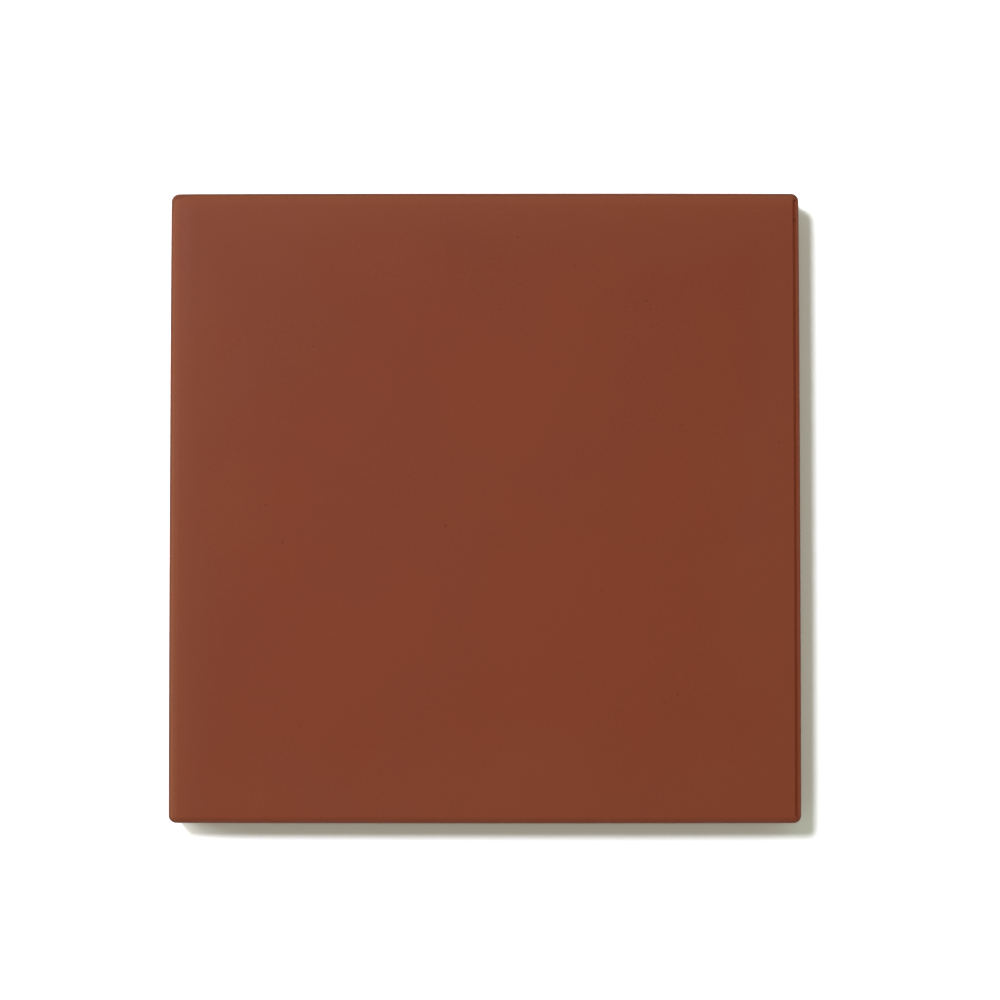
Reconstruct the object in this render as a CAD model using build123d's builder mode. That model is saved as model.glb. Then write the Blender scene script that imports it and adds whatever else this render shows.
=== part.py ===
from build123d import *

import math
import os

# A clinker floor tile: clay dust pressed in a steel die and fired hard, in one piece.
# Sizes are in millimetres and angles in degrees. The tile lies on its back with its face up.
# The origin is the middle of the back, +Z points out of the face, X and Y run along the sides.

# The square, seen from above. The flat of the face ends in nearly sharp corners.
side_length = 100.0
face_corner_radius = 0.2

# The section, from the back up to the face.
thickness = 9.0
arris_radius = 1.0
seam_height = 3.5
back_draft = 8.0
back_bevel = 0.4

# The keying on the back: square pockets between ribs, inside a plain rim.
rim_width = 8.0
rib_width = 2.5
pockets_across = 7
pocket_corner_radius = 1.0
pocket_depth = 0.8
pocket_draft = 25.0

# The upright corners are as round as the arris and the corner of the face together make them.
corner_radius = arris_radius + face_corner_radius

# Below the seam of the die the sides lean in, so the back is a little smaller than the face.
back_lean = seam_height * math.tan(math.radians(back_draft))
back_length = side_length - 2 * (back_lean + back_bevel)

# The pockets and the ribs between them fill the back inside the rim.
pocket_pitch = (back_length - 2 * rim_width + rib_width) / pockets_across
pocket_size = pocket_pitch - rib_width


def top_face(piece):
    return piece.faces().sort_by(Axis.Z)[-1]


def bottom_face(piece):
    return piece.faces().sort_by(Axis.Z)[0]


# The tile, in one piece.
with BuildPart() as tile:
    # The cavity of the die: upright sides with rounded corners.
    with BuildSketch(Plane.XY):
        RectangleRounded(side_length, side_length, corner_radius)
    extrude(amount=thickness)

    # Below the seam the sides lean in towards the back, so that the tile leaves the die.
    back = bottom_face(tile)
    chamfer(back.edges(), length=back_lean, length2=seam_height, reference=back)
    chamfer(bottom_face(tile).edges(), length=back_bevel)

    # The arris is the rounding that keeps the edge of the face from chipping.
    fillet(top_face(tile).edges(), radius=arris_radius)

    # Shallow pockets with sloping walls give the mortar a hold on the back.
    with BuildSketch(Plane.XY):
        with GridLocations(pocket_pitch, pocket_pitch, pockets_across, pockets_across):
            RectangleRounded(pocket_size, pocket_size, pocket_corner_radius)
    extrude(amount=pocket_depth, taper=pocket_draft, mode=Mode.SUBTRACT)

tile.part.label = "tile"

os.makedirs("parts", exist_ok=True)
export_step(tile.part, "parts/tile.step")

print("side of the back", back_length)
print("size of a pocket", pocket_size, "and step from one to the next", pocket_pitch)
print("volume in cubic millimetres", tile.part.volume)
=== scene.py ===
# %% [markdown]
# A clinker floor tile, seen from above on a white table. Clay dust is pressed in a steel die and fired
# until it sinters, so the whole tile is one piece with one colour all the way through. There is no
# glaze: what shows is the bare clay, with a satin skin where the polished die pressed it.
# The frame is loaded first. It holds the measured solid, and everything here is made to fit it. Blender
# works in metres, but a tile is drawn in millimetres, so lengths are written as a number times MM.

import math

import bmesh
import bpy
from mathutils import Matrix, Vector


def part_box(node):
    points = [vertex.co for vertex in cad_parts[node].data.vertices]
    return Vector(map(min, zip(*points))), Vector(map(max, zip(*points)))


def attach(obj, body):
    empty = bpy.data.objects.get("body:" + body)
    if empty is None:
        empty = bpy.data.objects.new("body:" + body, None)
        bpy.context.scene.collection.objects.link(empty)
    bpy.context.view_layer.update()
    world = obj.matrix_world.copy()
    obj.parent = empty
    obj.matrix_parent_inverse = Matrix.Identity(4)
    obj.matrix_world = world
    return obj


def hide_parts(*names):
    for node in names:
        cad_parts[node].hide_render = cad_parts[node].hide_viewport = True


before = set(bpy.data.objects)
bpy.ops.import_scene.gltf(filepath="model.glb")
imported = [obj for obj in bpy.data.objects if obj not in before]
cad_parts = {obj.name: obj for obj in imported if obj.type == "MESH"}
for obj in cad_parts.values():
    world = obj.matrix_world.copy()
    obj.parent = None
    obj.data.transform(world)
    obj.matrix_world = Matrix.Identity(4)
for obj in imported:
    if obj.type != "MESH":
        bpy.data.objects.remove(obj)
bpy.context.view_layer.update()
low, high = (Vector(corner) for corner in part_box("tile"))
side = high.x - low.x
thickness = high.z - low.z

MM = 0.001


def in_mm(length):
    """Return a length in metres as a round number of millimetres."""
    return round(length / MM, 3)


print("tile", in_mm(side), "mm square,", in_mm(thickness), "mm thick")

# %% [markdown]
# The camera comes before the shapes, so that every step can be looked at from the right place.
# It stands almost straight above the tile, with a long lens. Its height and its slight tilt follow
# from the four corners of the tile in the picture: the lower edge is a little longer than the upper
# one, so the camera stands a little nearer to it.

# %% The camera
LENS = 100
SENSOR = 36
CAMERA_PLACE = Vector((4.3, -17.2, 447.8)) * MM
CAMERA_TILT = (math.radians(2.383), math.radians(0.245), 0)

eye = bpy.data.cameras.new("eye")
eye.lens = LENS
eye.sensor_width = SENSOR
camera = bpy.data.objects.new("camera", eye)
camera.location = CAMERA_PLACE
camera.rotation_euler = CAMERA_TILT
bpy.context.scene.collection.objects.link(camera)
bpy.context.scene.camera = camera
bpy.context.scene.view_settings.view_transform = "Standard"
print("camera", in_mm(camera.location.length), "mm from the back of the tile")

# %% [markdown]
# The light is that of a small studio. One soft lamp high at the upper left casts the short shadow to
# the right and below. A large white board, lower on the same side, brightens what faces it. A dim room
# fills the shadow, a little warmer than the lamp. Together they light a level surface so that a colour
# renders about as it is written. The lamp's place follows from the shadow: for every tile's height that
# it climbs, it moves sideways by the width of the shadow.

# %% Lamps
KEY_PLACE = Vector((-225, 200, 715)) * MM
KEY_SIZE = 125 * MM
KEY_SHARE = 0.495
KEY_COLOUR = (0.985, 0.99, 1.09)
BOARD_PLACE = Vector((-1100, 524, 460)) * MM
BOARD_SIZE = 900 * MM
BOARD_SHARE = 0.20


def add_lamp(name, place, size, share, colour):
    """Add a disk lamp that faces the tile. Its share is how bright white looks with this lamp alone."""
    light = bpy.data.lights.new(name, "AREA")
    light.shape = "DISK"
    light.size = size
    light.color = colour
    light.energy = share * math.pi**2 * place.length**3 / place.z
    lamp = bpy.data.objects.new(name, light)
    lamp.location = place
    lamp.rotation_euler = place.to_track_quat("Z", "Y").to_euler()
    bpy.context.scene.collection.objects.link(lamp)
    print(name, round(light.energy, 3), "W")


add_lamp("key", KEY_PLACE, KEY_SIZE, KEY_SHARE, KEY_COLOUR)
add_lamp("board", BOARD_PLACE, BOARD_SIZE, BOARD_SHARE, (1, 1, 1))

# %% [markdown]
# The room, the table and the clay get their looks from nodes. By hand these are added and linked one
# by one in the shader editor. A few helpers do the same in one line each, so that a step below reads
# like a sentence. They all work in the tree that was opened last.

# %% Helpers for nodes
def add(kind, inputs=None, **settings):
    """Add a node, choose its settings, and fill its inputs with values or with other nodes' outputs."""
    node = tree.nodes.new(kind)
    for name, value in settings.items():
        setattr(node, name, value)
    for name, value in (inputs or {}).items():
        if isinstance(value, bpy.types.NodeSocket):
            tree.links.new(value, node.inputs[name])
        else:
            node.inputs[name].default_value = value
    return node


def work_out(operation, first, second):
    """Return the output of a Math node."""
    return add("ShaderNodeMath", {0: first, 1: second}, operation=operation).outputs[0]


def product(first, *others):
    """Return all the values multiplied. Of masks, it is 1 only where every one of them is."""
    for other in others:
        first = work_out("MULTIPLY", first, other)
    return first


def total(first, *others):
    """Return the sum of all the values."""
    for other in others:
        first = work_out("ADD", first, other)
    return first


def ramp(value, start, end, low=0.0, high=1.0):
    """Return a value that goes smoothly from low to high while the first one goes from start to end."""
    ends = {"Value": value, "From Min": start, "From Max": end, "To Min": low, "To Max": high}
    return add("ShaderNodeMapRange", ends, interpolation_type="SMOOTHSTEP").outputs["Result"]


def between(low, high, share):
    """Return a number that goes from low to high as the share goes from 0 to 1."""
    return add("ShaderNodeMix", {"Factor": share, "A": low, "B": high}).outputs["Result"]


def lay_over(under, over, share):
    """Return the first colour with the second one laid over it, as thickly as the share says."""
    mixed = add("ShaderNodeMix", {"Factor": share, "A": under, "B": over}, data_type="RGBA")
    return mixed.outputs["Result"]


def seen_rays():
    """Return 1 for the rays that see, from the camera, gloss or glass, and 0 for the light itself."""
    path = add("ShaderNodeLightPath").outputs
    sight_or_gloss = work_out("MAXIMUM", path["Is Camera Ray"], path["Is Glossy Ray"])
    return work_out("MAXIMUM", sight_or_gloss, path["Is Transmission Ray"])


print("helpers ready for the room, the table and the clay")

# %% [markdown]
# The room is a world with two strengths. What lights the tile is dim and a little warm, and a little
# brighter behind the tile, where the lamps stand, than in front of it. What the camera, gloss or glass
# sees of it is white, as the walls of a studio are. Only straight above the table, where the camera
# hangs, gloss finds a dark ceiling, so the sheen is kept for the edges.

# %% The room
ROOM_SHARE = 0.30
ROOM_SLOPE = 0.25
ROOM_COLOUR = (1.0, 1.07, 0.88, 1)
WALLS = (1, 1, 1, 1)
CEILING = (0.15, 0.15, 0.15, 1)
CEILING_STARTS = math.sin(math.radians(40))
CEILING_ENDS = math.sin(math.radians(70))

room = bpy.data.worlds.new("room")
room.use_nodes = True
bpy.context.scene.world = room
tree = room.node_tree
tree.nodes.clear()

around = add("ShaderNodeTexCoord").outputs["Generated"]
direction = add("ShaderNodeSeparateXYZ", {"Vector": around})
strength = total(product(direction.outputs["Y"], ROOM_SHARE * ROOM_SLOPE), ROOM_SHARE)
dim = add("ShaderNodeBackground", {"Color": ROOM_COLOUR, "Strength": strength})

overhead = ramp(direction.outputs["Z"], CEILING_STARTS, CEILING_ENDS)
for_gloss = add("ShaderNodeLightPath").outputs["Is Glossy Ray"]
view = lay_over(WALLS, CEILING, product(overhead, for_gloss))
bright = add("ShaderNodeBackground", {"Color": view})

both = add("ShaderNodeMixShader", {0: seen_rays(), 1: dim.outputs[0], 2: bright.outputs[0]})
add("ShaderNodeOutputWorld", {0: both.outputs[0]})
print("the room adds", ROOM_SHARE, "to a key of", KEY_SHARE, "and a board of", BOARD_SHARE)

# %% [markdown]
# The table is one large plane. It lies a hundredth of a millimetre below the tile, because two surfaces
# in one plane would show through each other.

# %% The table
TABLE_SIZE = 6.0
TABLE_HEIGHT = -0.01 * MM

bpy.ops.object.select_all(action="DESELECT")
bpy.ops.mesh.primitive_plane_add(size=TABLE_SIZE)
table = bpy.context.object
table.name = "table"
bpy.ops.object.mode_set(mode="EDIT")
bpy.ops.transform.translate(value=(0, 0, TABLE_HEIGHT))
bpy.ops.object.mode_set(mode="OBJECT")
print("table", TABLE_SIZE, "m across")

# %% [markdown]
# On the table lies a plain white sheet. A real one sends back nine tenths of the light, and the picture
# is exposed so far that this shows as full white. So the sheet is brighter again for the rays that see
# it. It lights the tile as a real sheet does, and it keeps the shadow. Away from the tile, where the
# lamp no longer reaches, it runs out into plain white, as a studio sweep does.

# %% The white sheet
TABLE_WHITE = (0.90, 0.90, 0.90, 1)
TABLE_SEEN = (1.60, 1.60, 1.60, 1)
SWEEP_STARTS = 100 * MM
SWEEP_ENDS = 200 * MM

sheet = bpy.data.materials.new("white_sheet")
sheet.use_nodes = True
table.data.materials.append(sheet)
tree = sheet.node_tree
tree.nodes.clear()

seen = seen_rays()
paper = add("ShaderNodeBsdfDiffuse", {"Color": lay_over(TABLE_WHITE, TABLE_SEEN, seen)})
on_table = add("ShaderNodeTexCoord").outputs["Object"]
reach = add("ShaderNodeVectorMath", {0: on_table}, operation="LENGTH").outputs["Value"]
far = product(ramp(reach, SWEEP_STARTS, SWEEP_ENDS), seen)
sweep = add("ShaderNodeEmission")
cover = add("ShaderNodeMixShader", {0: far, 1: paper.outputs[0], 2: sweep.outputs[0]})
add("ShaderNodeOutputMaterial", {0: cover.outputs[0]})
print("plain white from", in_mm(SWEEP_ENDS), "mm on")

# %% [markdown]
# The body is a square of clay pressed between two steel punches in a die. It could be made by
# subdividing a cube all over, but then the round edges would need far too many faces. It is made as a
# person would draw it: a cube of the tile's size, its upright edges rounded, the back drawn in below
# the seam of the die, and the edge of the face rounded last. The sizes are those of the frame, but for
# the arris, which is a hair rounder to make up for what is taken off the sides later.

# %% Sizes of the section
ARRIS = 1.05 * MM
ARRIS_STEPS = 12
FACE_CORNER = 0.15 * MM
CORNER_STEPS = 8
SOFT_STEPS = 2
SEAM = 3.5 * MM
BACK_DRAFT = math.radians(8)
BACK_BEVEL = 0.4 * MM
FLASH_HEIGHT = 0.12 * MM
FLASH_DEPTH = 0.03 * MM

half = side / 2
back_lean = SEAM * math.tan(BACK_DRAFT)
print("half a side", in_mm(half), "mm, the back leans in", in_mm(back_lean), "mm")

# %% [markdown]
# In edit mode every operator acts on what is selected. By hand that is done with clicks, and here with
# a test of each part's place or normal. These helpers select that way, and then cut or scale. Two
# heights count as the same when they are less than a thousandth of a millimetre apart, and a direction
# counts as straight up or down when it leans by less than two and a half degrees.

# %% Helpers for picking in edit mode
NEAR = 0.001 * MM
STRAIGHT = math.cos(math.radians(2.5))


def pick(piece, mode, wanted):
    """Select the vertices, edges or faces that are wanted, and nothing else, in edit mode."""
    bpy.ops.mesh.select_mode(type=mode)
    bpy.ops.mesh.select_all(action="DESELECT")
    shape = bmesh.from_edit_mesh(piece.data)
    parts = {"VERT": shape.verts, "EDGE": shape.edges, "FACE": shape.faces}[mode]
    picked = [part for part in parts if not part.hide and wanted(part)]
    for part in picked:
        part.select_set(True)
    bmesh.update_edit_mesh(piece.data)
    return len(picked)


def is_upright(edge):
    along = edge.verts[0].co - edge.verts[1].co
    return abs(along.z) > along.length * STRAIGHT


def faces_up(face):
    return face.normal.z > STRAIGHT


def faces_down(face):
    return face.normal.z < -STRAIGHT


def cut(place, normal):
    """Cut what is selected along a plane. The threshold has to suit a small piece in metres."""
    bpy.ops.mesh.bisect(plane_co=place, plane_no=normal, threshold=NEAR)


def cut_level(height):
    """Cut all that shows at one height."""
    bpy.ops.mesh.select_all(action="SELECT")
    cut((0, 0, height), (0, 0, 1))


def draw_in(piece, wanted, depth):
    """Scale the vertices that are wanted in towards the middle, by this depth at each side."""
    pick(piece, "VERT", wanted)
    share = (half - depth) / half
    bpy.ops.transform.resize(value=(share, share, 1), center_override=(0, 0, 0))


print("what is nearer than", in_mm(NEAR), "mm counts as the same")

# %% [markdown]
# The block comes first: a cube at the tile's size, lying on the table. Its upright edges are rounded
# while they are the only ones, which is simpler than after the sides have changed. Three level cuts
# make ready for the seam.

# %% The pressed block
bpy.ops.object.select_all(action="DESELECT")
bpy.ops.mesh.primitive_cube_add(size=1, location=(0, 0, thickness / 2), scale=(side, side, thickness))
body = bpy.context.object
body.name = "tile_body"
bpy.ops.object.transform_apply(location=True, rotation=True, scale=True)

bpy.ops.object.mode_set(mode="EDIT")
pick(body, "EDGE", is_upright)
bpy.ops.mesh.bevel(offset=ARRIS + FACE_CORNER, segments=CORNER_STEPS, affect="EDGES")
for height in (SEAM - FLASH_HEIGHT, SEAM, SEAM + FLASH_HEIGHT):
    cut_level(height)
bpy.ops.object.mode_set(mode="OBJECT")
print("block with rounded corners", len(body.data.polygons), "faces")

# %% [markdown]
# The two halves of the die meet at the seam. Below it the sides lean in, so that the tile comes out of
# the die, and at the seam itself a hair of clay is squeezed out all the way round. That flash shows as
# a fine line along the side. The sides are scaled in from it, so that the flash keeps the full size.

# %% The seam and the sides
bpy.ops.object.mode_set(mode="EDIT")
draw_in(body, lambda v: v.co.z > SEAM + FLASH_HEIGHT / 2, FLASH_DEPTH)
draw_in(body, lambda v: NEAR < v.co.z < SEAM - FLASH_HEIGHT / 2, FLASH_DEPTH)
draw_in(body, lambda v: v.co.z < NEAR, back_lean)

pick(body, "FACE", faces_down)
bpy.ops.mesh.region_to_loop()
bpy.ops.mesh.bevel(offset=BACK_BEVEL, segments=SOFT_STEPS, affect="EDGES")
bpy.ops.object.mode_set(mode="OBJECT")
print("flash", in_mm(FLASH_DEPTH), "mm proud of the sides")

# %% [markdown]
# The arris is the rounding that keeps the edge of the face from chipping. A bevel along the loop
# around the face makes it, in enough steps to stay round in a close view. The corners of the flat face
# come out nearly sharp, as they are in the picture, because the upright corners are only a little
# rounder than the arris.

# %% The arris
bpy.ops.object.mode_set(mode="EDIT")
pick(body, "FACE", faces_up)
bpy.ops.mesh.region_to_loop()
bpy.ops.mesh.bevel(offset=ARRIS, segments=ARRIS_STEPS, affect="EDGES")
bpy.ops.object.mode_set(mode="OBJECT")
print("arris", in_mm(ARRIS), "mm round,", len(body.data.polygons), "faces")

# %% [markdown]
# The back of a pressed tile is keyed: the lower punch leaves rows of shallow pockets that the mortar
# grips. They lie inside a plain rim, with ribs between them, at the same places as in the frame.

# %% Sizes of the pockets
RIM = 8.0 * MM
RIB = 2.5 * MM
POCKETS = 7
POCKET_CORNER = 1.0 * MM
POCKET_STEPS = 4
POCKET_DEPTH = 0.8 * MM
POCKET_DRAFT = math.radians(25)
POCKET_SOFT = 0.12 * MM

back_side = side - 2 * (back_lean + BACK_BEVEL)
pitch = (back_side - 2 * RIM + RIB) / POCKETS
pocket_run = POCKET_DEPTH * math.tan(POCKET_DRAFT)
field = POCKETS * pitch / 2
print("a pocket every", in_mm(pitch), "mm, each", in_mm(pitch - RIB), "mm wide")

# %% [markdown]
# The pockets could be cut out one by one, but it is quicker to make all of them at once. Cuts both ways
# divide the back into squares, and an inset of each square leaves the ribs. The corners of the squares
# are rounded, and a second inset goes down as it goes in, which makes the sloping walls. Last, the rims
# are softened. A pocket's face is told from the rib's by its four rounded corners, and its rim by the
# bend there.

# %% The keying pockets
BENT = math.radians(30)


def in_field(point):
    return abs(point.x) < field and abs(point.y) < field


def is_pocket(face):
    inside = faces_down(face) and in_field(face.calc_center_median())
    return inside and len(face.verts) == 4 * (POCKET_STEPS + 1)


def on_pocket_rim(edge):
    on_the_back = all(abs(v.co.z) < NEAR and in_field(v.co) for v in edge.verts)
    return on_the_back and edge.calc_face_angle(0) > BENT


bpy.ops.object.mode_set(mode="EDIT")
for axis in (Vector((1, 0, 0)), Vector((0, 1, 0))):
    for i in range(POCKETS + 1):
        pick(body, "FACE", faces_down)
        cut(axis * (i * pitch - field), axis)

pick(body, "FACE", lambda f: faces_down(f) and in_field(f.calc_center_median()))
bpy.ops.mesh.inset(thickness=RIB / 2, use_individual=True)
bpy.ops.mesh.bevel(offset=POCKET_CORNER, segments=POCKET_STEPS, affect="VERTICES")
pockets = pick(body, "FACE", is_pocket)
bpy.ops.mesh.inset(thickness=pocket_run, depth=-POCKET_DEPTH, use_individual=True)
rim_edges = pick(body, "EDGE", on_pocket_rim)
bpy.ops.mesh.bevel(offset=POCKET_SOFT, segments=SOFT_STEPS, affect="EDGES")
bpy.ops.object.mode_set(mode="OBJECT")
print(pockets, "pockets with", rim_edges, "edges softened,", len(body.data.polygons), "faces")

# %% [markdown]
# Nothing fired is quite flat or quite straight. To be able to bend a little, the face and the sides
# need more faces than a block has, so they are cut into a grid, with closer lines where the face meets
# the arris. The back keeps its own cuts, and is hidden meanwhile.

# %% The grid for bending
GRID = 2.0 * MM
CLOSER = (0.08 * MM, 0.3 * MM, 0.7 * MM, 1.3 * MM, 2.0 * MM)
LEVELS = (0.35, 0.65)

wall = half - FLASH_DEPTH
steps = int(half / GRID) - 1
lines = [i * GRID for i in range(-steps, steps + 1)]
lines += [end * (wall - ARRIS - inside) for end in (-1, 1) for inside in CLOSER]

bpy.ops.object.mode_set(mode="EDIT")
pick(body, "FACE", lambda f: faces_down(f) or in_field(f.calc_center_median()) and not faces_up(f))
bpy.ops.mesh.hide(unselected=False)
for axis in (Vector((1, 0, 0)), Vector((0, 1, 0))):
    for line in lines:
        bpy.ops.mesh.select_all(action="SELECT")
        cut(axis * line, axis)
for share in LEVELS:
    cut_level(SEAM + (thickness - ARRIS - SEAM) * share)
bpy.ops.mesh.reveal(select=False)
bpy.ops.object.mode_set(mode="OBJECT")
print("grid", len(body.data.polygons), "faces")

# %% [markdown]
# The arris isn't the same all round. Along the right side, where the punch fitted the die more
# loosely, the photographed tile has a steep step first and a flatter lip outside it, which together
# read as a dark line and a lighter rim. Along the other sides the arris is a plain round. A second
# bevel couldn't give this section, so the rows of the rounded edge are moved to it, one after the
# other. Each pair is a row's depth inside the wall and its drop below the face, in millimetres.

# %% The lip at the right
LIP = (
    (1.09, 0.00),
    (1.04, 0.03),
    (0.94, 0.12),
    (0.84, 0.22),
    (0.75, 0.295),
    (0.66, 0.32),
    (0.50, 0.335),
    (0.33, 0.355),
    (0.19, 0.39),
    (0.09, 0.48),
    (0.035, 0.66),
)

ROW_STEP = math.radians(90) / ARRIS_STEPS
ROW_NEAR = 0.02
bend = Vector((wall - ARRIS, 0, thickness - ARRIS))


def row_of(point):
    """Return the row of the rounded edge at the right that a point lies in, or none."""
    out = point - bend
    if out.x < -NEAR or out.z < -NEAR or abs(point.y) > bend.x - FACE_CORNER + NEAR:
        return None
    row = math.atan2(out.x, out.z) / ROW_STEP
    return round(row) if abs(row - round(row)) < ROW_NEAR else None


bpy.ops.object.mode_set(mode="EDIT")
for row, (depth, drop) in enumerate(LIP):
    angle = ROW_STEP * row
    was = bend + ARRIS * Vector((math.sin(angle), 0, math.cos(angle)))
    now = Vector((wall - depth * MM, 0, thickness - drop * MM))
    count = pick(body, "VERT", lambda v: row_of(v.co) == row)
    bpy.ops.transform.translate(value=now - was)
bpy.ops.object.mode_set(mode="OBJECT")
print("rows of the lip", len(LIP), "with", count, "points each")

# %% [markdown]
# A pressed face isn't a perfect plane. Over the last few millimetres at the left and at the top it
# falls away by not quite two tenths of a millimetre, and there it catches more light. Moving the edge
# down with proportional editing does this smoothly.

# %% The fall of the face
FALL = 0.18 * MM
FALL_REACH = 2.4 * MM

bpy.ops.object.mode_set(mode="EDIT")
for axis in (Vector((-1, 0, 0)), Vector((0, 1, 0))):
    pick(body, "VERT", lambda v: v.co.z > SEAM + FLASH_HEIGHT and v.co.dot(axis) > wall - ARRIS - NEAR)
    bpy.ops.transform.translate(
        value=(0, 0, -FALL),
        use_proportional_edit=True,
        proportional_edit_falloff="SHARP",
        proportional_size=FALL_REACH,
    )
bpy.ops.object.mode_set(mode="OBJECT")
print("the face falls", in_mm(FALL), "mm at the left and at the top")

# %% [markdown]
# A few open pores show on the face as dark pinpricks, and there is a small nick in the upper edge and
# one in the lip at the right. Their places are read from the picture, in millimetres from the middle of
# the tile. A pore is given by its place and its radius, and its middle lies above the face by a share
# of the radius. A nick has its own height as well.

# %% Pores and nicks
PORES = (
    (14.4, 38.3, 0.17),
    (25.6, 32.6, 0.19),
    (26.3, 31.3, 0.15),
    (-27.1, 25.4, 0.16),
    (-31.9, -5.7, 0.18),
    (-6.1, -3.0, 0.19),
    (18.6, -13.3, 0.18),
    (46.6, 10.1, 0.19),
    (30.5, -29.7, 0.16),
    (28.6, -31.0, 0.15),
    (-29.0, -34.6, 0.16),
    (-34.6, 0.2, 0.17),
    (5.3, 42.8, 0.19),
)
PORE_RISE = 0.48
NICKS = (
    (-45.3, 49.75, 8.88, 0.34),
    (49.3, 45.5, 8.78, 0.32),
)
print(len(PORES), "pores and", len(NICKS), "nicks")

# %% [markdown]
# A bump in the material would have no rim of its own, so these are real hollows. A small ball is set
# into the surface for each, the balls are joined, and one boolean takes them all away from the tile.

# %% Taking the hollows away
def set_ball(place, radius):
    """Add a small ball and return it."""
    bpy.ops.object.select_all(action="DESELECT")
    bpy.ops.mesh.primitive_ico_sphere_add(subdivisions=3, radius=radius, location=place)
    return bpy.context.object


face_height = thickness / MM
balls = [set_ball(Vector((x, y, face_height + PORE_RISE * r)) * MM, r * MM) for x, y, r in PORES]
balls += [set_ball(Vector((x, y, z)) * MM, r * MM) for x, y, z, r in NICKS]
for ball in balls:
    ball.select_set(True)
bpy.ops.object.join()
hollows = bpy.context.object

bpy.ops.object.select_all(action="DESELECT")
bpy.context.view_layer.objects.active = body
body.select_set(True)
taking = body.modifiers.new("hollows", "BOOLEAN")
taking.operation = "DIFFERENCE"
taking.solver = "EXACT"
taking.object = hollows
bpy.ops.object.modifier_apply(modifier=taking.name)
bpy.data.objects.remove(hollows)
print("with the hollows", len(body.data.polygons), "faces")

# %% [markdown]
# Firing bends the square a little. Its sides bow outwards by about a tenth of a millimetre, so that the
# corners stand back. A lattice does this to the whole tile at once: a cage of a few points around it,
# of which the outer ones are moved in, the more the nearer they are to a corner. The cage runs from
# minus a half to a half, so with a factor of 8 a corner moves in by just the bow.

# %% The bow of the sides
BOW = 0.12 * MM

lattice = bpy.data.lattices.new("bow")
lattice.points_u = 5
lattice.points_v = 5
lattice.points_w = 2
for axis in "uvw":
    setattr(lattice, "interpolation_type_" + axis, "KEY_CARDINAL")
cage = bpy.data.objects.new("bow", lattice)
cage.location = (0, 0, thickness / 2)
cage.scale = (side, side, thickness)
bpy.context.scene.collection.objects.link(cage)
for point in lattice.points:
    x, y, z = point.co
    point.co_deform = (x - 8 * BOW / side * x * y * y, y - 8 * BOW / side * y * x * x, z)
bending = body.modifiers.new("bow", "LATTICE")
bending.object = cage
bpy.context.view_layer.update()
bpy.ops.object.modifier_apply(modifier=bending.name)
bpy.data.objects.remove(cage)
corner = max(body.data.vertices, key=lambda v: v.co.x + v.co.y).co
print("outermost corner at", [in_mm(c) for c in corner])

# %% [markdown]
# Firing also leaves a swell in the face, too faint to see except in its sheen, and the lip at the right
# runs a little unevenly. Both are soft clouds that sink the surface. They only ever take clay away, so
# the tile stays within its measured size.

# %% The swell of the face
SWELL = 0.08 * MM
SWELL_SIZE = 24 * MM
UNEVEN = 0.05 * MM
UNEVEN_SIZE = 3 * MM


def displace(group, size, strength, direction):
    """Sink part of the surface by up to this strength, in soft clouds of this size."""
    texture = bpy.data.textures.new("clouds", "CLOUDS")
    texture.noise_scale = size
    texture.noise_depth = 1
    sinking = body.modifiers.new("clouds", "DISPLACE")
    sinking.texture = texture
    sinking.texture_coords = "LOCAL"
    sinking.direction = direction
    sinking.mid_level = 1
    sinking.strength = strength
    sinking.vertex_group = group
    bpy.ops.object.modifier_apply(modifier=sinking.name)


def name_part(title, wanted):
    """Put the vertices that are wanted in a group with a name."""
    group = body.vertex_groups.new(name=title)
    group.add([v.index for v in body.data.vertices if wanted(v.co)], 1, "REPLACE")
    return title


upper = name_part("upper", lambda c: c.z > thickness - 1.5 * ARRIS)
displace(upper, SWELL_SIZE, SWELL, "Z")
lip = name_part("lip", lambda c: c.x > bend.x and c.z > thickness - 0.7 * ARRIS and abs(c.y) < bend.x)
displace(lip, UNEVEN_SIZE, UNEVEN, "X")
body.vertex_groups.clear()
heights = [v.co.z for v in body.data.vertices if v.co.z > thickness - 0.1 * ARRIS]
print("the flat face lies between", in_mm(min(heights)), "and", in_mm(max(heights)), "mm")

# %% [markdown]
# So far every face is shaded flat, and the roundings show their steps. Smooth shading hides the steps,
# but real edges have to stay sharp. The limit between the two is an angle, wider than any step of the
# roundings and narrower than the edge at the foot of the pockets.

# %% Shading
SHARP = math.radians(35)

bpy.ops.object.shade_smooth_by_angle(angle=SHARP)
print("sharp edges", sum(edge.use_edge_sharp for edge in body.data.edges), "of", len(body.data.edges))

# %% [markdown]
# The clay has no glaze and no paint, so its colour goes all the way through, and one material does for
# the whole tile. An image would have to be fitted to each side, so everything is worked out from the
# place on the tile instead. The sheen has two parts: a soft one from the clay itself, and a faint
# tighter one from the skin that sinters where the polished punch pressed it. Much of what follows is
# soft noise. It seldom leaves the middle of its range, so the ramps on it start and end there.

# %% The clay
CLAY = (0.2130, 0.0432, 0.0166, 1)
SATIN = 0.11
SKIN = 0.022
SKIN_ROUGH = 0.30
MIDDLE = (0.3, 0.7)

clay = bpy.data.materials.new("fired_clay")
clay.use_nodes = True
tree = clay.node_tree
surface = tree.nodes["Principled BSDF"]
surface.inputs["Specular IOR Level"].default_value = SATIN
surface.inputs["Coat Weight"].default_value = SKIN
surface.inputs["Coat Roughness"].default_value = SKIN_ROUGH
body.data.materials.append(clay)


def clouds(place, size, detail=2.0):
    """Return soft noise from 0 to 1, with patches of about this size in metres."""
    noise = add("ShaderNodeTexNoise", {"Vector": place, "Scale": 1 / size, "Detail": detail})
    return noise.outputs["Fac"]


print("clay", CLAY[:3])

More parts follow.
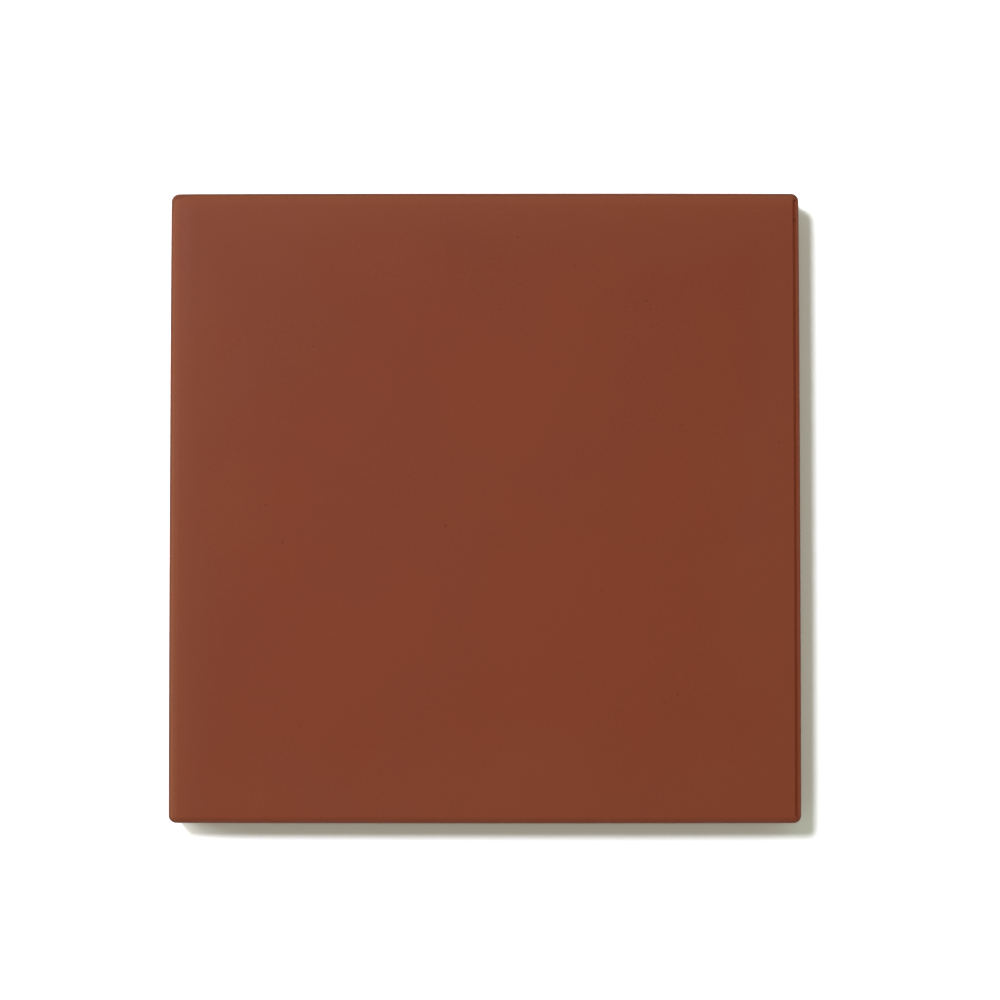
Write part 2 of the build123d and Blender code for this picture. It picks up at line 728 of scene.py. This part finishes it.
# %% [markdown]
# Every finish below has its place on the tile, and a mask says how far it reaches. The masks are made
# from a few distances: from the nearest edge, from one side, or down from the face. They are worked
# out once, from the place on the tile in metres.

# %% Distances
place = add("ShaderNodeTexCoord").outputs["Object"]
x, y, z = add("ShaderNodeSeparateXYZ", {"Vector": place}).outputs

from_left = work_out("ADD", half, x)
from_top = work_out("SUBTRACT", half, y)
from_fall = work_out("MINIMUM", from_left, from_top)
from_wall = work_out("SUBTRACT", wall, x)
from_ends = work_out("SUBTRACT", wall, work_out("ABSOLUTE", y, 0))
outward = work_out("MAXIMUM", work_out("ABSOLUTE", x, 0), work_out("ABSOLUTE", y, 0))
from_edge = work_out("SUBTRACT", half, outward)
below_face = work_out("SUBTRACT", thickness, z)
print("the middle of the face is", in_mm(half), "mm from each edge")

# %% [markdown]
# Three zones look different on a real tile. The face was pressed by the polished punch. The sides slid
# along the wall of the die when the tile was pushed out. The back lay on the slab of the kiln, so it is
# coarser, and dusty. The face ends on the arris, the back ends at its bevel, and what is left is side.

# %% Zones
on_face = ramp(below_face, 0.4 * ARRIS, ARRIS, 1, 0)
on_side = work_out("SUBTRACT", 1, on_face)
inside_bevel = ramp(from_edge, back_lean, back_lean + BACK_BEVEL)
low_down = ramp(z, POCKET_DEPTH, 1.5 * POCKET_DEPTH, 1, 0)
on_back = product(inside_bevel, low_down)
print("the face is above", in_mm(thickness - ARRIS), "mm, the back below", in_mm(POCKET_DEPTH), "mm")

# %% [markdown]
# The colour of fired clay is never quite even, but the picture shows how faint the differences are.
# Broad clouds come from the draught in the kiln. The lower side of the tile is laid a touch paler than
# the
# upper one: painted light, which evens out how the lamps fall off towards the lower right. Fine grain
# comes from the pressed dust. All this could be painted in images, but noise in three dimensions fits
# every side and runs on over the edges by itself. Each part is a tone, which is a factor close to one,
# and the tones are multiplied.

# %% Clouds and grain
CLOUD_SIZE = 16 * MM
CLOUD_SHARE = 0.02
GRAIN_SIZE = 0.45 * MM
GRAIN_SHARE = 0.035
GRAIN_MIDDLE = (0.25, 0.75)
PAINTED_FALLOFF = 0.02

cloud = clouds(place, CLOUD_SIZE)
grain = clouds(place, GRAIN_SIZE)
cloud_tone = ramp(cloud, *MIDDLE, 1 - CLOUD_SHARE, 1 + CLOUD_SHARE)
grain_tone = ramp(grain, *GRAIN_MIDDLE, 1 - GRAIN_SHARE, 1 + GRAIN_SHARE)
# painted light: the lower side is made paler, to even out how the lamps fall off towards the lower
# right
painted_falloff_tone = ramp(y, -half, half, 1 + PAINTED_FALLOFF, 1 - PAINTED_FALLOFF)
tone = product(cloud_tone, grain_tone, painted_falloff_tone)
print("clouds", in_mm(CLOUD_SIZE), "mm wide, grain", in_mm(GRAIN_SIZE), "mm")

# %% [markdown]
# A few single grains stand out from the dust: darker ones with iron in them, and fewer paler ones of
# sand. Noise has no single grains, so these are the spots of a Voronoi pattern. Each of its cells has
# a random colour, and only the cells with enough red in theirs keep their spot, which fades out over
# its outer half and a little beyond.

# %% Grains of iron and sand
IRON_CELL = 1.3 * MM
IRON_RADIUS = 0.14 * MM
IRON_RED = 0.80
IRON_SHARE = 0.14
SAND_CELL = 5.0 * MM
SAND_RADIUS = 0.20 * MM
SAND_RED = 0.85
SAND_SHARE = 0.12
RED_STEP = 0.10
SPECK_FULL = 0.5
SPECK_GONE = 1.3


def specks(cell, radius, red):
    """Return a mask of scattered round specks of this radius, one in each cell that is red enough."""
    cells = add("ShaderNodeTexVoronoi", {"Vector": place, "Scale": 1 / cell})
    chosen = add("ShaderNodeSeparateColor", {"Color": cells.outputs["Color"]}).outputs["Red"]
    speck = (SPECK_FULL * radius / cell, SPECK_GONE * radius / cell)
    near = ramp(cells.outputs["Distance"], *speck, 1, 0)
    return product(near, ramp(chosen, red, red + RED_STEP))


iron_tone = product(specks(IRON_CELL, IRON_RADIUS, IRON_RED), -IRON_SHARE)
sand_tone = product(specks(SAND_CELL, SAND_RADIUS, SAND_RED), SAND_SHARE)
tone = product(tone, total(1, iron_tone, sand_tone))
print("iron in some cells of", in_mm(IRON_CELL), "mm, sand in some of", in_mm(SAND_CELL), "mm")

# %% [markdown]
# The sides slid along the wall of the die when the tile was pushed out. That drew faint upright streaks
# over clay that is a little mottled. Along the seam the clay is darkened by a hair: painted shade for
# the shade under the flash. The streaks are noise drawn out in height: a Mapping node makes every
# millimetre of height count as a twentieth of one.

# %% The tone of the sides
DRAWN_OUT = 0.05
STREAK_SIZE = 0.5 * MM
STREAK_SHARE = 0.04
MOTTLE_SIZE = 2.2 * MM
MOTTLE_SHARE = 0.05
SEAM_SHADE_SHARE = 0.14
SEAM_SHADE_REACH = (0.05 * MM, 0.25 * MM)

upright = add("ShaderNodeMapping", {"Vector": place, "Scale": (1, 1, DRAWN_OUT)}).outputs["Vector"]
drag = clouds(upright, STREAK_SIZE, 3.0)
streak_tone = ramp(drag, *MIDDLE, -STREAK_SHARE, STREAK_SHARE)
mottle_tone = ramp(clouds(place, MOTTLE_SIZE, 4.0), *MIDDLE, -MOTTLE_SHARE, MOTTLE_SHARE)
from_seam = work_out("ABSOLUTE", work_out("SUBTRACT", z, SEAM), 0)
# painted shade: the clay is darkened along the seam, standing in for the shade under the flash
seam_shade_tone = ramp(from_seam, *SEAM_SHADE_REACH, -SEAM_SHADE_SHARE, 0)
tone = product(tone, total(1, product(on_side, total(streak_tone, mottle_tone, seam_shade_tone))))
colour = add("ShaderNodeHueSaturation", {"Color": CLAY, "Value": tone}).outputs["Color"]
print("streaks", in_mm(STREAK_SIZE / DRAWN_OUT), "mm long")

# %% [markdown]
# Towards its edges the tile is a shade paler in colour, from about sixteen millimetres in. The border
# of that isn't straight, so soft noise moves it in and out. At the left and at the top, where the face
# falls away and catches more light, the last few millimetres are paler once more: a painted sheen.

# %% The paler edges and the painted sheen at the fall
PALE_AND_SHEEN = (0.25, 0.15, 0.075, 1)
PALE_SHARE = 0.035
PALE_REACH = (4 * MM, 16 * MM)
WANDER = 4 * MM
WANDER_SIZE = 14 * MM
FALL_SHEEN_SHARE = 0.03
FALL_SHEEN_REACH = (2 * MM, 9 * MM)

wander = ramp(clouds(place, WANDER_SIZE), *MIDDLE, WANDER, -WANDER)
at_edges = ramp(total(from_edge, wander), *PALE_REACH, PALE_SHARE, 0)
# painted sheen: the last few millimetres at the left and at the top are paler, where the face falls
# away
fall_sheen = ramp(from_fall, *FALL_SHEEN_REACH, FALL_SHEEN_SHARE, 0)
colour = lay_over(colour, PALE_AND_SHEEN, total(at_edges, fall_sheen))
print("paler up to", in_mm(PALE_REACH[1]), "mm from the edge")

# %% [markdown]
# The outer half of the arris is laid a little paler, in some places more than in others: a painted
# sheen where the rounding catches the light and the white around it. It is a pale colour laid over the
# clay,
# with a mask that follows the rounding: far enough out, and high enough up. At the left, and a little
# at the top, where the face falls away, the inner half gets a painted highlight as well, which shows as
# a thin light line.

# %% The painted sheen on the arris
ARRIS_SHEEN = (0.26, 0.14, 0.095, 1)
ARRIS_SHEEN_SHARE = 0.16
ARRIS_SHEEN_SIZE = 5 * MM
ARRIS_SHEEN_REACH = (0.45 * ARRIS, 0.95 * ARRIS)
SHEEN_DOWN = (0.9 * ARRIS, 1.3 * ARRIS)
EDGE_HIGHLIGHT = (0.34, 0.15, 0.07, 1)
LEFT_HIGHLIGHT_SHARE = 0.115
LEFT_HIGHLIGHT_REACH = (1.15 * MM, 1.75 * MM)
TOP_HIGHLIGHT_SHARE = 0.06
TOP_HIGHLIGHT_REACH = (1.3 * MM, 2.4 * MM)

# painted sheen: the outer half of the arris is laid paler, unevenly
outer_half = ramp(from_edge, *ARRIS_SHEEN_REACH, 1, 0)
high_up = ramp(below_face, *SHEEN_DOWN, 1, 0)
unevenly = ramp(clouds(place, ARRIS_SHEEN_SIZE, 3.0), *MIDDLE, 0.5 * ARRIS_SHEEN_SHARE, ARRIS_SHEEN_SHARE)
colour = lay_over(colour, ARRIS_SHEEN, product(outer_half, high_up, unevenly))

# painted highlight: a thin light line on the inner half of the arris at the left and at the top
left_highlight = ramp(from_left, *LEFT_HIGHLIGHT_REACH, LEFT_HIGHLIGHT_SHARE, 0)
top_highlight = ramp(from_top, *TOP_HIGHLIGHT_REACH, TOP_HIGHLIGHT_SHARE, 0)
colour = lay_over(colour, EDGE_HIGHLIGHT, product(total(left_highlight, top_highlight), high_up))
print("the arris is rubbed up to", in_mm(ARRIS_SHEEN_REACH[1]), "mm from the edge")

# %% [markdown]
# At the left and at the top a thin brown line runs along the arris. It is a band between two heights
# below the edge, which lies lower there by the fall of the face.
# At the top it starts a hair higher than at the left.

# %% The line along the arris
LINE = (0.160, 0.045, 0.020, 1)
LINE_STARTS = (0.16 * MM, 0.32 * MM)
LINE_ENDS = (0.70 * MM, 0.95 * MM)
LINE_RISE = 0.08 * MM
LINE_REACH = (1.0 * MM, 1.2 * MM)

below_edge = work_out("SUBTRACT", below_face, FALL)
rise = ramp(from_top, *LINE_REACH, LINE_RISE, 0)
line_starts = ramp(total(below_edge, rise), *LINE_STARTS)
line_ends = ramp(below_edge, *LINE_ENDS, 1, 0)
near_fall = ramp(from_fall, *LINE_REACH, 1, 0)
colour = lay_over(colour, LINE, product(line_starts, line_ends, near_fall))
print("line between", in_mm(LINE_STARTS[0]), "and", in_mm(LINE_ENDS[1]), "mm below the edge")

# %% [markdown]
# The lip at the right has two tones of its own. Its step is laid a deeper red than the face, as painted
# shade where the step faces away from the light, and its crest is laid paler, as painted sheen where it
# catches the white around it. Both are bands at a measured depth from the wall. The deep one ends
# before the corners, where the step ends as well.

# %% The painted shade of the step and the painted sheen of the crest
STEP_SHADE = (0.22, 0.035, 0.010, 1)
CREST_SHEEN = (0.29, 0.075, 0.035, 1)
CREST_SHEEN_SHARE = 0.35
CREST_INNER = (0.46 * MM, 0.56 * MM)
STEP_OUTER = (0.58 * MM, 0.70 * MM)
STEP_INNER = (1.00 * MM, 1.10 * MM)
STEP_STOPS = (0.90 * MM, 1.40 * MM)

# painted shade: the step of the lip is a deeper red
shaded_step = product(ramp(from_wall, *STEP_OUTER), ramp(from_wall, *STEP_INNER, 1, 0))
colour = lay_over(colour, STEP_SHADE, product(shaded_step, ramp(from_ends, *STEP_STOPS), on_face))
# painted sheen: the crest of the lip is paler
crest_sheen = ramp(from_wall, *CREST_INNER, CREST_SHEEN_SHARE, 0)
colour = lay_over(colour, CREST_SHEEN, product(crest_sheen, on_face))
print("step from", in_mm(STEP_OUTER[0]), "to", in_mm(STEP_INNER[1]), "mm inside the wall")

# %% [markdown]
# On the back lies a thin pale dust, left by the powder that keeps the tile from sticking to the slab
# of the kiln. It lies in patches, thin in some places and thick in others, and is grainy itself.

# %% The dust on the back
DUST = (0.34, 0.17, 0.115, 1)
DUST_SHARE = 0.30
PATCH_SIZE = 9 * MM
PATCH_MIDDLE = (0.35, 0.65)
THINNEST_PATCH = 0.35
POWDER_SIZE = 0.8 * MM
POWDER_MIDDLE = (0.35, 0.6)
THINNEST_POWDER = 0.3

patches = ramp(clouds(place, PATCH_SIZE, 5.0), *PATCH_MIDDLE, THINNEST_PATCH, 1)
powder = ramp(clouds(place, POWDER_SIZE, 4.0), *POWDER_MIDDLE, THINNEST_POWDER, 1)
colour = lay_over(colour, DUST, product(patches, powder, on_back, DUST_SHARE))
tree.links.new(colour, surface.inputs["Base Color"])
print("dust in patches of", in_mm(PATCH_SIZE), "mm")

# %% [markdown]
# Roughness follows the zones, with the clouds in it, so that the sheen isn't quite even either. The
# bump is in true metres: its Distance is one metre, and the grains are hundredths of a millimetre high
# on the back and on the sides, and a thousandth on the face, which the punch has polished.

# %% Sheen and bump
FACE_ROUGH = 0.60
SIDE_ROUGH = 0.68
BACK_ROUGH = 0.85
FACE_GRAIN = 0.0012 * MM
SIDE_GRAIN = 0.010 * MM
BACK_GRAIN = 0.020 * MM
BACK_GRAIN_SIZE = 0.9 * MM
DRAG_DEPTH = 0.012 * MM
CLOUD_ROUGH = 0.03

cloud_rough = ramp(cloud, *MIDDLE, -CLOUD_ROUGH, CLOUD_ROUGH)
front_rough = total(ramp(on_face, 0, 1, SIDE_ROUGH, FACE_ROUGH), cloud_rough)
roughness = between(front_rough, BACK_ROUGH, on_back)
tree.links.new(roughness, surface.inputs["Roughness"])

side_relief = total(product(grain, SIDE_GRAIN), product(drag, DRAG_DEPTH))
front_relief = between(side_relief, product(grain, FACE_GRAIN), on_face)
back_relief = product(clouds(place, BACK_GRAIN_SIZE, 5.0), BACK_GRAIN)
relief = between(front_relief, back_relief, on_back)
bump = add("ShaderNodeBump", {"Height": relief, "Distance": 1.0}).outputs["Normal"]
tree.links.new(bump, surface.inputs["Normal"])
print("face rough", FACE_ROUGH, "side", SIDE_ROUGH, "back", BACK_ROUGH)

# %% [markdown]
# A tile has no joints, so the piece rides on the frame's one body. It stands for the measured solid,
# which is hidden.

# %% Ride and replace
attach(body, "root")
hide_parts("tile")
print("the piece", body.name, "has", len(body.data.polygons), "faces")
